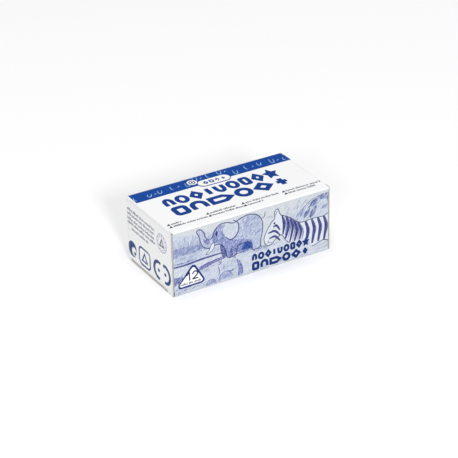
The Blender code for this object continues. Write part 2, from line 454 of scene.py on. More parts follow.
def landscape(art):
    """Sky, tall grass, the far bank and the ground."""
    art.fill("sky", box_points(-2.0, -2.0, LENGTH + 2.0, HEIGHT + 2.0))
    art.blob("wash", [(-2, 31.0), (10, 30.6), (20, 29.6), (24, 24), (24, 16), (-2, 16)], 3)
    bank = [(-2, 24.6), (6, 25.2), (14, 24.4), (19, 23.6), (20, 21.8), (10, 21.0), (-2, 20.8)]
    art.blob("wash_mid", bank, 3)
    art.fill("wash", [(50, 19), (66, 24), (76, 30.0), (90, 32), (90, 18), (70, 17)])
    art.fill("ground", [(-2, -2), (90, -2), (90, 9), (60, 12.9), (40, 13.6), (26, 15.2), (-2, 16.0)])
    for i in range(52):
        x = 0.3 + i * 0.41 + art.rng.uniform(-0.1, 0.1)
        foot = art.rng.uniform(19.8, 23.0)
        tall = art.rng.uniform(4.8, 8.4)
        ink = art.rng.choice(("grass", "grass", "grass_deep"))
        tip = (x + art.rng.uniform(-0.2, 0.3), foot + tall)
        art.line(ink, [(x, foot), tip], art.rng.uniform(0.16, 0.32), taper=0.5)
    art.pencil("wash_mid", (0, 17.5, 24, 21.5), 44, 4, 4.2, 0.32)
    art.pencil("wash_mid", (62, 20, 78, 29), 60, 58, 3.6, 0.34)
    art.pencil("wash_mid", (0, 1, 86, 12), 90, 14, 5.0, 0.34)
    art.pencil("wash_deep", (-1, 20.5, 20, 23), 26, 2, 3.6, 0.3)
    art.stroke("ground_line", [(0, 15.7), (7, 15.5), (15, 16.1), (27, 16.3)], 1.1, 0.3)
    art.stroke("wash_deep", [(0, 17.4), (5, 16.9), (13, 17.3)], 0.8)
    art.blob("violet", [(12.4, 9.9), (18, 10.8), (24, 12.2), (29.4, 13.0), (24, 13.6), (17, 13.0)], 3)
    art.stroke("ground_line", [(13, 11.8), (20, 13.2), (28.5, 14.0), (34, 13.3), (47, 13.6), (51, 12.6)], 0.5)
    art.blob("wash_deep", [(-1, 5), (2.6, 6.6), (5.4, 9.2), (2.0, 10.0), (-1, 9.6)], 3)
    art.pencil("grass_deep", (0, 5, 5, 9), 22, 62, 2.6, 0.34)
    art.pencil("wash_deep", (0, 0.5, 24, 3.6), 26, 10, 3.6, 0.28)
    art.pencil("wash_deep", (16, 6, 25, 11.5), 26, 22, 3.4, 0.3)
    art.pencil("wash_deep", (38, 10.4, 50, 13.0), 30, 8, 3.0, 0.3)


def boulders(art):
    """A pale round form resting at the foot of the picture, with two smaller ones in front."""
    art.blob("ear", [(17, 1.8), (18.4, 7.0), (22, 10.4), (24.6, 10.4), (24.6, 2.2)])
    back = [(24, 2.2), (24.6, 8.2), (28, 11.6), (33, 11.8), (36.6, 8.8), (38.2, 4.4), (37.6, 1.2), (30, 0.6)]
    art.blob("wash", back, 5)
    art.blob("wash_deep", [(34.6, 10.6), (37.0, 8.4), (38.4, 4.4), (37.8, 1.2), (35.4, 1.2), (35.8, 5.4)], 5)
    art.pencil("wash_mid", (25, 4, 34, 10), 34, 40, 2.4, 0.32)
    for x, y, size in ((28.6, 1.6, 3.9), (20.6, 0.8, 2.8)):
        hump = circle(x, y, size, 18, 0, 180)
        art.fill("wash_mid", hump)
        art.line("wash_deep", hump, 0.45, taper=0.4)
        shade = (x - size * 0.6, y + 0.4, x + size * 0.3, y + size * 0.6)
        art.pencil("elephant_dark", shade, 10, 30, 1.8, 0.3)
    art.stroke("outline", [(24.6, 9.4), (25.2, 7.0), (24.8, 4.4)], 0.4)
    art.stroke("outline", [(29.8, 5.6), (31.6, 5.0), (33.2, 5.6)], 0.45)
    for x, y in ((25.8, 11.2), (34.0, 11.6)):
        for lean in (-1.0, -0.2, 0.8):
            art.line("outline", [(x, y - 0.6), (x + lean, y + 1.4)], 0.4, taper=0.6)


def elephant(art):
    """An elephant in profile with a raised trunk."""
    body = smooth([
        (24.2, 30.4), (26.6, 31.7), (30.0, 31.6), (33.6, 30.4), (37.6, 31.8), (42.5, 32.4), (46.8, 30.8),
        (49.3, 27.2), (49.5, 22.0), (48.4, 17.2), (48.0, 13.3), (43.7, 13.1), (43.2, 16.6), (40.2, 18.0),
        (35.6, 17.4), (34.4, 13.0), (30.0, 12.8), (29.0, 16.6), (27.2, 20.0), (25.0, 21.4), (22.2, 21.2),
        (19.4, 20.8), (16.8, 22.4), (15.3, 25.4), (14.6, 28.6), (13.4, 31.2), (15.2, 32.1), (17.3, 29.8),
        (18.2, 26.9), (19.7, 25.2), (21.6, 25.9), (22.5, 28.4),
    ], True, 4)
    art.fill("elephant", body)
    art.pencil("hatch", (36, 20, 47.5, 31), 130, 50, 2.0, 0.2)
    art.pencil("ear", (36, 21, 47.5, 31), 60, -42, 1.8, 0.2)
    art.blob("elephant_head", [
        (22.8, 28.6), (24.4, 30.2), (27.0, 31.2), (29.0, 30.4), (29.4, 24.0), (29.0, 19.6), (26.6, 20.6),
        (24.6, 22.2), (22.6, 22.6), (21.8, 25.0),
    ])
    art.blob("elephant_head", [
        (27.0, 20.4), (31.0, 21.8), (36.0, 20.8), (42.6, 19.0), (43.4, 16.4), (43.9, 13.5), (37.0, 13.8),
        (34.6, 16.4), (34.0, 13.2), (30.2, 13.0), (29.2, 16.8),
    ])
    art.blob("elephant_dark", [(31.8, 16.4), (35, 18.4), (40, 19), (43.4, 17.2), (43.4, 13.9), (36, 13.9)])
    art.blob("elephant_deep", [(25.8, 20.2), (27.7, 19.8), (28.7, 16.8), (29.3, 13.6), (27.0, 13.9)], 3)
    art.fill("elephant_deep", [(31.5, 13.0), (32.8, 13.0), (32.4, 17.4), (31.3, 17.4)])
    art.blob("elephant_dark", [(16.4, 26.6), (17.8, 24.0), (19.8, 22.8), (20.4, 24.4), (18.4, 25.8)], 3)
    art.pencil("elephant_dark", (22.6, 22.6, 28.6, 29.6), 46, 64, 2.0, 0.24)
    art.pencil("elephant", (23, 26, 29, 31), 34, 62, 1.8, 0.3)
    art.fill("swatch", [(38.6, 14.6), (42.9, 14.2), (43.0, 16.6), (41.2, 18.6), (38.8, 17.4)])
    art.pencil("swatch", (36.4, 14.2, 42.0, 17.4), 16, 12, 2.2, 0.4)
    ear_line = [(33.4, 32.0), (36.0, 29.6), (36.2, 25.8), (34.2, 22.8), (31.4, 22.0), (29.2, 24.0)]
    art.blob("ear", [(27.6, 28.0), (29.4, 31.0)] + ear_line)
    art.pencil("wash", (29.6, 24, 34, 30), 26, 70, 2.4, 0.28)
    art.stroke("outline", ear_line, 0.6, 0.3)
    art.line("outline", body, 0.5, True)
    art.blob("outline", [(23.6, 26.2), (24.7, 26.8), (24.6, 28.8), (23.7, 28.2)], 3)
    tusk = smooth([(22.8, 22.8), (22.4, 20), (20, 18), (18.2, 17.8), (20.2, 20), (21.2, 22.4)], True, 3)
    art.fill("zebra", tusk)
    art.line("outline", tusk, 0.3, True)
    art.stroke("outline", [(49.2, 28.2), (50.8, 29.2), (51.0, 31.4)], 0.4, 0.4)


def zebra(art):
    """The head, neck and back of a striped horse that faces left."""
    body = smooth([
        (50.6, 14.4), (50.3, 17.2), (52.0, 21.0), (54.6, 24.6), (56.4, 26.2), (56.4, 29.6), (58.2, 30.8),
        (59.6, 27.4), (61.6, 26.2), (65.0, 24.2), (68.6, 21.2), (72.0, 19.7), (78.0, 20.0), (84.0, 19.6),
        (90.0, 20.0), (90.0, 5.6), (84.0, 6.4), (77.0, 4.8), (71.0, 9.4), (66.0, 9.8), (62.6, 12.4),
        (60.2, 16.2), (57.2, 15.2), (54.4, 12.8), (52.0, 12.6),
    ], True, 4)
    art.fill("zebra", body)
    art.pencil("ear", (52, 14, 58, 22), 26, 60, 2.6, 0.34)
    neck = (
        ((60.6, 26.8), (61.6, 21.6), (61.0, 16.2)),
        ((62.8, 25.7), (64.2, 20.2), (62.4, 13.4)),
        ((65.0, 24.3), (66.6, 18.6), (64.8, 10.8)),
        ((67.1, 22.5), (69.0, 16.6), (67.4, 10.2)),
        ((69.3, 20.9), (71.4, 15.6), (70.2, 9.9)),
    )
    for index, points in enumerate(neck):
        art.stroke("stripe", points, 1.75 if index % 2 else 1.5, 0.5, 6)
        art.stroke("stripe_pale", [(x + 1.2, y - 1.0) for x, y in points], 0.7, 0.8, 6)
    for x in (74.4, 78.1, 81.6, 85.0, 88.0):
        art.stroke("stripe", [(x - 0.6, 19.8), (x + 0.9, 14.4), (x - 0.4, 6.4)], 1.9, 0.45, 6)
        art.stroke("stripe_pale", [(x + 0.5, 18.8), (x + 1.9, 14.0), (x + 0.8, 9.0)], 0.4, 0.8, 6)
    for y, reach in ((21.6, 2.6), (18.9, 4.6), (15.9, 4.2)):
        hook = [(59.2 - reach * 1.45, y + 0.2), (58.6 - reach * 0.5, y + 0.5), (59.4, y - 2.6)]
        art.stroke("stripe", hook, 1.25, 0.6, 6)
    art.line("outline", body, 0.44, True)
    art.fill("outline", circle(56.2, 23.6, 0.6, 10))
    art.fill("outline", circle(52.6, 14.8, 0.34, 8))
    art.stroke("outline", [(51.0, 13.6), (53.0, 14.0), (54.8, 13.4)], 0.3)
    art.stroke("outline", [(57.0, 27.4), (57.4, 29.2), (58.2, 29.6)], 0.36)
    for x in (54.4, 55.4, 53.4):
        art.line("outline", [(x, 27.2), (x - 1.6, 28.4)], 0.34, taper=0.6)


def foliage(art):
    """Long leaves that hang in from the upper right corner."""
    leaves = (
        ("leaf", 73.0, 21.6, 54, 5.8), ("leaf", 75.6, 26.6, 32, 7.4), ("leaf", 76.4, 20.6, 58, 7.2),
        ("leaf", 80.4, 30.2, 4, 7.8), ("leaf_pale", 70.8, 22.6, 66, 5.0), ("leaf", 86.6, 31.0, -80, 4.8),
        ("leaf_pale", 82.4, 24.0, 18, 5.4),
    )
    for ink, x, y, angle, length in leaves:
        turn = Matrix.Rotation(math.radians(angle), 2)
        corners = [(0, 0), (length * 0.45, length * 0.2), (length, 0), (length * 0.5, -length * 0.19)]
        art.fill(ink, [tuple(Vector((x, y)) + turn @ Vector(p)) for p in smooth(corners, True)])
        tip = Vector((x, y)) + turn @ Vector((length, 0))
        art.line("ground_line", [(x, y), tuple(tip)], 0.24, taper=0.6)
    art.stroke("outline", [(68.6, 23.6), (73.4, 27.8), (78, 30.6), (87, 32.0)], 0.3, 0.4)
    art.stroke("outline", [(76.6, 20.6), (77.8, 24.6), (81.0, 28.0)], 0.28, 0.4)
    art.pencil("leaf_pale", (68, 21, 87, 31), 70, 50, 3.0, 0.3)


def badge(art):
    """A white triangle with round corners that holds the number of crayons."""
    art.fill("badge_line", rounded([(0.6, 3.1), (18.2, 3.5), (11.3, 15.8)], 1.7))
    art.fill("paper", rounded([(2.3, 4.1), (16.7, 4.4), (11.2, 13.8)], 0.9))
    art.line("number", [(7.3, 9.4), (8.9, 10.8), (8.9, 6.6)], 0.75)
    two = [(10.5, 9.5), (11.5, 10.8), (13.0, 10.4), (13.2, 9.2), (12.1, 8.0), (10.5, 6.9)]
    art.stroke("number", two, 0.75, 0.0)
    art.line("number", [(10.5, 6.9), (13.6, 6.9)], 0.7)
    art.small_text("number", 3.9, 15.2, 4.8, 1.1)


def picture_print():
    """The long panels: a crayon drawing of animals on a plain, a badge, and two short rows of signs."""
    art = Print(7)
    for draw in (landscape, foliage, boulders, elephant, zebra):
        draw(art)
    art.fill("ground", [(-2, -2), (90, -2), (90, 0.7), (60, 0.8), (42, 1.0), (16, 0.8), (-2, 0.8)])
    art.blob("ground", [(42.6, 0.7), (76.2, 0.7), (77.0, 5.6), (74.0, 10.2), (58.0, 10.6), (43.0, 10.4)], 3)
    art.pencil("wash_mid", (43, 1, 76, 3), 26, 12, 4.0, 0.3)
    badge(art)
    sign_row(art, "title_deep", FIRST_ROW, 43.3, 75.8, 6.2, 4.1, 0.36, 1.3)
    sign_row(art, "title_deep", SECOND_ROW, 43.3, 75.8, 1.0, 4.8, 0.5, 1.5)
    return art


def base_print():
    """The underside: small print, a block of upright bars and a ring."""
    art = Print(5)
    for row in range(7):
        art.small_text("small_text", 6.0, 44.0 - 6.0 * (row == 6), 31.0 - row * 2.6, 1.1)
    art.line("mark", box_points(52.0, 13.0, 80.0, 32.0), 0.3, True)
    x = 54.0
    while x < 78.0:
        width = art.rng.choice((0.3, 0.3, 0.6, 0.9))
        art.fill("mark", box_points(x, 15.0, min(x + width, 78.0), 30.0))
        x += width + art.rng.choice((0.3, 0.6, 0.6))
    art.line("mark", circle(12.0, 8.0, 3.0, 24), 0.6, True)
    sign_row(art, "title", FIRST_ROW[:4], 22.0, 44.0, 5.4, 5.0, 0.9, 1.3)
    return art


def right_end_print():
    """The other end: two rows of signs over two lines of small print."""
    art = Print(19)
    sign_row(art, "title", FIRST_ROW, 4.6, 40.4, 21.4, 4.6, 0.5, 1.2)
    sign_row(art, "title", SECOND_ROW, 4.6, 40.4, 13.6, 5.6, 0.8, 1.5)
    for y in (8.0, 5.6):
        art.small_text("small_text", 8.0, 37.0, y, 1.1)
    return art


# ---------------------------------------------------------------- folded board

class Section:
    """A path in a plane, made of straight runs and arcs. Its outer side is on the left of the way it goes."""

    def __init__(self, start, heading, runs):
        self.pieces = []
        at, angle, length = Vector(start), math.radians(heading), 0.0
        for kind, size, *turn in runs:
            bend = math.radians(turn[0]) if kind == "arc" else 0.0
            reach = size * abs(bend) if kind == "arc" else size
            self.pieces.append((length, reach, at.copy(), angle, size, bend))
            at = self.point(length + reach)[0]
            angle += bend
            length += reach
        self.length = length

    def point(self, s):
        """The place and the outward side at a length along the path."""
        start, reach, at, angle, radius, bend = next(
            (p for p in reversed(self.pieces) if s >= p[0]), self.pieces[0]
        )
        t = s - start
        if bend and reach:
            sign = 1.0 if bend > 0 else -1.0
            now = angle + bend * min(t / reach, 1.0)
            centre = at + leftward(angle) * radius * sign
            place = centre - leftward(now) * radius * sign
            place += direction(now) * (t - min(t, reach))
            return place, leftward(now)
        return at + direction(angle) * t, leftward(angle)

    def arcs(self):
        """(start, end) of each arc."""
        return [(p[0], p[0] + p[1]) for p in self.pieces if p[5]]


def fold_lines(section, steps=6):
    """Lengths along a section at which its arcs are cut, so that they bend smoothly."""
    return [start + (end - start) * i / steps for start, end in section.arcs() for i in range(steps + 1)]


def crossing_lines(points, edges, outline, positions, vertical):
    """Adds a line across the sheet at each position, for the board to bend along."""
    low = min(p[0 if vertical else 1] for p in outline)
    high = max(p[0 if vertical else 1] for p in outline)
    across = [p[1 if vertical else 0] for p in outline]
    start, end = min(across) - 1.0, max(across) + 1.0
    for position in positions:
        if low < position < high:
            first = len(points)
            if vertical:
                points += [(position, start), (position, end)]
            else:
                points += [(start, position), (end, position)]
            edges.append((first, first + 1))


def covered(points, polygon):
    """Which of the points lie in a polygon, by counting the polygon's edges to the right of each."""
    corners = np.array(polygon)
    close = np.all((points >= corners.min(axis=0)) & (points <= corners.max(axis=0)), axis=1)
    x, y = points[close].T
    odd = np.zeros(len(x), bool)
    for (x0, y0), (x1, y1) in zip(corners, np.roll(corners, -1, axis=0)):
        level = (y0 > y) != (y1 > y)
        if level.any():
            odd ^= level & (x < x0 + (x1 - x0) * (y - y0) / (y1 - y0))
    result = np.zeros(len(points), bool)
    result[close] = odd
    return result


def triangles_of(outline, shapes, rows, columns, grid):
    """Cuts a flat sheet into triangles along the edges of its print. Gives its points, its triangles, each
    triangle's topmost shape, or -1 for bare paper, and where each point of the outline went."""
    points, edges = list(outline), []
    for _, polygon in shapes:
        first, count = len(points), len(polygon)
        points += polygon
        edges += [(first + i, first + (i + 1) % count) for i in range(count)]
    crossing_lines(points, edges, outline, rows, False)
    crossing_lines(points, edges, outline, columns, True)
    if grid:
        xs, ys = [p[0] for p in outline], [p[1] for p in outline]
        across = math.ceil((max(xs) - min(xs)) / grid)
        up = math.ceil((max(ys) - min(ys)) / grid)
        for i in range(1, across):
            for j in range(1, up):
                x = min(xs) + (max(xs) - min(xs)) * i / across
                points.append((x, min(ys) + (max(ys) - min(ys)) * j / up))
    verts, _, found, sources, _, owners = delaunay_2d_cdt(
        [Vector(p) for p in points], edges, [list(range(len(outline)))], 0, 1e-4, True
    )
    found = [triangle for triangle, owner in zip(found, owners) if owner]
    centres = np.array([tuple(v) for v in verts])[np.array(found)].mean(axis=1)
    tops = np.full(len(found), -1)
    for index, (_, polygon) in enumerate(shapes):
        tops[covered(centres, polygon)] = index
    moved = {source: index for index, found_at in enumerate(sources) for source in found_at}
    return verts, found, tops, [moved[i] for i in range(len(outline))]


def border_loops(triangles):
    """The closed loops of edges round a set of triangles, each in the triangles' own direction."""
    directed = {}
    used = set()
    for a, b, c in triangles:
        used.update(((a, b), (b, c), (c, a)))
    for a, b in used:
        if (b, a) not in used:
            directed[a] = b
    loops = []
    while directed:
        first, current = directed.popitem()
        loop = [first]
        while current != first:
            loop.append(current)
            current = directed.pop(current)
        loops.append(loop)
    return loops


def mesh_from(shape, name, material):
    mesh = bpy.data.meshes.new(name)
    shape.to_mesh(mesh)
    shape.free()
    mesh.materials.append(material)
    return mesh


def sheet_mesh(
    name, outline, place, material, art=None, rows=(), columns=(), grid=0.0, wear=None, wall=BOARD
):
    """A sheet cut to an outline, printed on its outer side, and folded by place(x, y, depth)."""
    shapes = art.shapes if art else []
    verts, outer, tops, _ = triangles_of(outline, shapes, rows, columns, grid)
    loop = border_loops(outer)[0]
    inner_outline = [tuple(verts[i]) for i in loop]
    inner_verts, inner, _, inner_at = triangles_of(inner_outline, [], rows, columns, grid * 3)

    shape = bmesh.new()
    colour = shape.loops.layers.float_color.new("ink")
    worn = shape.verts.layers.float.new("wear")
    bare = shape.verts.layers.float.new("bare")

    def add_points(flat, depth):
        made = []
        for point in flat:
            vert = shape.verts.new(place(point.x, point.y, depth) * MM)
            vert[worn] = wear(point.x, point.y) if wear else 0.0
            vert[bare] = 1.0 if depth else 0.0
            made.append(vert)
        return made

    top = add_points(verts, 0.0)
    bottom = add_points(inner_verts, wall)
    middle = sum((Vector(p) for p in outline), Vector((0, 0))) / len(outline)
    flip = not facing_out(place, middle)

    def add_face(corners, ink, tooth=0.0):
        face = shape.faces.new(corners[::-1] if flip else corners)
        for corner in face.loops:
            corner[colour] = (*linear(*INKS[ink]), tooth)
        face.smooth = True

    for triangle, top_shape in zip(outer, tops):
        ink = shapes[top_shape][0] if top_shape >= 0 else "paper"
        add_face([top[i] for i in triangle], ink, CRAYON_TOOTH.get(ink, 0.0))
    for a, b, c in inner:
        add_face([bottom[a], bottom[c], bottom[b]], "inside")
    for i, here in enumerate(loop):
        j = (i + 1) % len(loop)
        # The cut edges get the dark edge ink: the board core's grey with painted shade for the shadow lines
        # at the edges.
        add_face([top[loop[j]], top[here], bottom[inner_at[i]], bottom[inner_at[j]]], "shaded_cut_edge")
    bmesh.ops.delete(shape, geom=[v for v in shape.verts if not v.link_faces], context="VERTS")
    mesh = mesh_from(shape, name, material)
    mesh.set_sharp_from_angle(angle=math.radians(35.0))
    return mesh


def add_piece(name, mesh):
    piece = bpy.data.objects.new(name, mesh)
    bpy.context.scene.collection.objects.link(piece)
    return piece


def add_board(name, outline, place, **details):
    """A piece of the printed board."""
    return add_piece(name, sheet_mesh(name, outline, place, board_material, **details))


def facing_out(place, at):
    """True if the sheet's anticlockwise side is its outer side once it is folded."""
    step = 0.05
    here = place(at[0], at[1], 0.0)
    first = place(at[0] + step, at[1], 0.0) - here
    second = place(at[0], at[1] + step, 0.0) - here
    outward = here - place(at[0], at[1], BOARD)
    return first.cross(second).dot(outward) > 0


def near(value, marks, width):
    """1 on a mark, falling to 0 a few widths away."""
    return max((math.exp(-(((value - m) / width) ** 2)) for m in marks), default=0.0)


# ---------------------------------------------------------------- carton

def turned(to_frame, side):
    """A function that gives places at the left end, turned half a turn about Y for the right end."""
    if side == "left":
        return to_frame

    def half_turned(*at):
        point = to_frame(*at)
        return Vector((-point.x, point.y, HEIGHT - point.z))
    return half_turned


def stand_in(piece, body, slot, *nodes):
    """The piece moves with a body and stands in for nodes of the CAD part."""
    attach(piece, body)
    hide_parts(*nodes)


def make_sleeve():
    """The four walls and the glue flap, one strip of board folded round the crayons."""
    radius = CREASE_RADIUS
    glue_high = node_box("glue_flap")[1]
    glue_side = HALF_DEPTH - BOARD - GLUE_LINE
    quarter = ("arc", radius, -90.0)
    section = Section(
        (glue_side, glue_high.z),
        -90.0,
        [
            ("line", glue_high.z - radius), quarter,
            ("line", glue_side + HALF_DEPTH - 2 * radius), quarter,
            ("line", HEIGHT - 2 * radius), quarter,
            ("line", DEPTH - 2 * radius), quarter,
            ("line", HEIGHT - radius - BACK_FOOT),
        ],
    )
    arcs = section.arcs()
    base_start, front_start, top_start, back_start = (end for _, end in arcs)
    base_end, front_end, top_end = (start for start, _ in arcs[1:])
    art = Print()

    picture = clipped(picture_print(), -PICTURE_BLEED, HEIGHT - PICTURE_MARGIN, 0.0, LENGTH)
    front_low = front_start - radius
    back_high = back_start + HEIGHT - radius
    art.lay(picture, lambda u, v: (u - HALF_LENGTH, front_low + v))
    art.lay(picture, lambda u, v: (HALF_LENGTH - u, back_high - v))
    roof = clipped(top_print(), 0.0, DEPTH + BAND_BLEED, 0.0, LENGTH)
    art.lay(roof, lambda u, v: (u - HALF_LENGTH, top_start - radius + v))
    art.lay(base_print(), lambda u, v: (u - HALF_LENGTH, base_start + v))

    end = HALF_LENGTH
    behind = end - BOARD - EDGE_GAP
    full = end - EDGE_GAP
    wall_end = node_box("front_panel")[1].x
    lip = end - LAYER
    stub = lip - CREASE_GAP
    margin = HALF_DEPTH - node_box("closure_left")[1].y
    left_low, left_high = (corner.z for corner in node_box("dust_flap_left_front"))
    right_low, right_high = HEIGHT - left_high, HEIGHT - left_low
    glue_end = glue_high.x
    back_gap = HALF_DEPTH - glue_side

    def side_edge(*walls):
        """The sheet's edge at one end of the carton. Each wall's edge steps to another line and back."""
        points = [(glue_end - GLUE_MITRE[0], 0.0), (glue_end, GLUE_MITRE[1]), (glue_end, arcs[0][0])]
        for edge, step, start, low, high, finish in walls:
            points += [(edge, start), (edge, low), (step, low), (step, high), (edge, high), (edge, finish)]
        return points

    front, back = SHOULDERS["right"]
    roof_low, roof_high = top_start - radius + margin, top_end + radius - margin
    right = side_edge(
        (full, lip, base_start, base_start + margin, base_end - margin + radius, base_end),
        (stub, wall_end, front_start, front_low + right_low, front_low + right_high, front_end),
        (behind, end, top_start, roof_low + front, roof_high - back, top_end),
        (stub, wall_end, back_start, back_high - right_high, back_high - right_low, section.length),
    )
    front, back = SHOULDERS["left"]
    base_low, base_high = base_start - radius - back_gap + margin + back, base_end + radius - margin - front
    left = side_edge(
        (behind, end, base_start, base_low, base_high, base_end),
        (stub, wall_end, front_start, front_low + left_low, front_low + left_high, front_end),
        (full, lip, top_start, roof_low, roof_high, top_end),
        (stub, wall_end, back_start, back_high - left_high, back_high - left_low, section.length),
    )
    outline = right + [(-x, s) for x, s in reversed(left)]
    bows = (
        (base_start, base_end, -0.02), (front_start, front_end, 0.1), (top_start, top_end, 0.12),
        (back_start, section.length, 0.1),
    )

    def bow(x, s):
        for low, high, rise in bows:
            if low < s < high:
                across = math.sin(math.pi * (s - low) / (high - low))
                return rise * across * max(0.0, math.cos(math.pi / 2 * x / HALF_LENGTH))
        return 0.0

    def place(x, s, depth):
        point, side = section.point(s)
        point = point - side * (depth - bow(x, s))
        return Vector((x, point.x, point.y))

    folds = [(a + b) / 2 for a, b in arcs]

    def wear(x, s):
        return max(near(s, folds, 0.55), near(abs(x), (HALF_LENGTH,), 0.5))

    rows = fold_lines(section) + [f + d for f in folds for d in (-1.3, 1.3)]
    columns = (1.5 - end, end - 1.5)
    piece = add_board(
        "carton_sleeve", outline, place, art=art, rows=rows, columns=columns, grid=2.0, wear=wear
    )
    walls = ("top_panel", "bottom_panel", "front_panel", "back_panel", "glue_flap")
    stand_in(piece, "carton", "printed_board", *walls)


def clipped(art, low, high, left, right):
    """The print cut off at the sides of a box."""
    result = Print()
    for ink, points in art.shapes:
        kept = points
        for axis, limit, above in ((1, low, True), (1, high, False), (0, left, True), (0, right, False)):
            kept = cut_polygon(kept, axis, limit, above)
        if len(kept) > 2:
            result.fill(ink, kept)
    return result


def cut_polygon(points, axis, limit, keep_above):
    """The part of a polygon on one side of a line square to an axis."""
    def inside(p):
        return p[axis] >= limit if keep_above else p[axis] <= limit
    result = []
    for i, here in enumerate(points):
        before = points[i - 1]
        if inside(here) != inside(before):
            t = (limit - before[axis]) / (here[axis] - before[axis])
            result.append(tuple(b + (h - b) * t for b, h in zip(before, here)))
        if inside(here):
            result.append(here)
    return result


def make_crease(name, section, low, high, to_frame, body_a, body_b, art=None, outward=1):
    """A strip of board bent along a section where two bodies meet, fixed in place; body_a and body_b are not
    used. to_frame takes a place along the fold and a point in the section's plane. outward is -1 if the
    board's outer side is the section's inner side."""
    def place(q, s, depth):
        point, side = section.point(s)
        return to_frame(q, point + side * (-depth * outward))

    outline = [(low, 0.0), (high, 0.0), (high, section.length), (low, section.length)]
    folds = [(a + b) / 2 for a, b in section.arcs()]
    piece = add_board(name, outline, place, art=art, rows=fold_lines(section, 8), grid=2.5,
                      wear=lambda q, s: 0.8 * near(s, folds, 0.35))
    start, end = place(low, 0.0, 0.0), place(low, section.length, 0.0)
    along = end - start
    inset = max(0.0, (place(low, 0.0, BOARD) - start).dot(along) / along.length_squared)
    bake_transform(piece)


def make_end(side):
    """The closure, the tuck and the two dust flaps of one end, with the creases that join them."""
    half = node_box("closure_left")[1].y
    tuck_low, tuck_high = node_box("tuck_left")
    tuck_z = 2 * BOARD
    reach = LAYER
    tuck_front, tuck_back = -half + SHOULDERS[side][0], half - SHOULDERS[side][1]

    # The closure panel. Its flat sheet is seen from outside, with y along it and z up.
    closure_body = f"closure_{side}"

    def bow(y, z):
        up = (z - tuck_z) / (HEIGHT - tuck_z)
        share = min(max(up, 0.0), 1.0) ** (math.log(0.5) / math.log(BULGE_AT[side]))
        return BULGE[side] * math.sin(math.pi * share) * math.cos(math.pi / 2 * y / (half * 3.0))

    def closure_place(y, z, depth):
        return Vector((-HALF_LENGTH + depth - bow(y, z), y, z))

    top_edge = HEIGHT - reach
    fold_edge = tuck_z + reach
    outline = [
        (-half, CLOSURE_FOOT), (tuck_front, CLOSURE_FOOT), (tuck_front, fold_edge), (tuck_back, fold_edge),
        (tuck_back, CLOSURE_FOOT), (half, CLOSURE_FOOT), (half, top_edge), (-half, top_edge),
    ]
    art = Print()
    if side == "left":
        art.lay(clipped(end_print(), 0.0, HEIGHT, 0.5, DEPTH - 0.5), lambda u, v: (HALF_DEPTH - u, v))
    else:
        art.lay(right_end_print(), lambda u, v: (u - HALF_DEPTH, HEIGHT - v))

    def wear(y, z):
        return max(near(abs(y), (half,), 0.4), near(z, (CLOSURE_FOOT, top_edge), 0.5))

    place = turned(closure_place, side)
    piece = add_board(f"{closure_body}_panel", outline, place, art=art, grid=2.0, wear=wear)
    stand_in(piece, closure_body, "printed_board", closure_body)

    def end_plane(y, point):
        return Vector((point.x, y, point.y))

    # The fold at the closure's head, from the sleeve's roof down to the closure.
    radius = CREASE_RADIUS
    flat = reach - radius
    head = Section((-HALF_LENGTH, top_edge), 90.0, [("line", flat), ("arc", radius, -90.0), ("line", flat)])
    make_crease(f"{closure_body}_fold", head, -half, half, turned(end_plane, side), closure_body, "carton")

    # The tuck on its lower edge.
    rise = math.degrees(math.asin((tuck_high.z - tuck_low.z - BOARD) / (tuck_high.x - tuck_low.x)))
    slope = math.radians(rise)
    bend = 90.0 + rise
    cut = radius * math.tan(math.radians(bend) / 2)
    tuck_body = f"tuck_{side}"
    start = (-HALF_LENGTH + reach * math.cos(slope), tuck_z + reach * math.sin(slope))
    flat = reach - cut
    foot = Section(start, 180.0 + rise, [("line", flat), ("arc", radius, -bend), ("line", flat)])
    bodies = (tuck_body, closure_body)
    make_crease(f"{tuck_body}_fold", foot, tuck_front, tuck_back, turned(end_plane, side), *bodies)

    run = direction(slope)
    upward = Vector((-run.y, run.x))

    def tuck_place(y, distance, depth):
        point = Vector((-HALF_LENGTH, tuck_z)) + run * distance + upward * depth
        return Vector((point.x, y, point.y))

    length = (tuck_high.x + HALF_LENGTH) / run.x
    corners = [
        (tuck_front, reach), (tuck_back, reach),
        (tuck_back - TUCK_TAPER, length), (tuck_front + TUCK_TAPER, length),
    ]
    outline = corners[:2] + rounded(corners, TUCK_CORNER)[12:]
    piece = add_board(f"{tuck_body}_flap", outline, turned(tuck_place, side), grid=2.5,
                      wear=lambda y, d: near(d, (length,), 0.6))
    stand_in(piece, tuck_body, "printed_board", tuck_body)

    for wall, sign in (("front", -1), ("back", 1)):
        make_dust_flap(side, wall, sign)


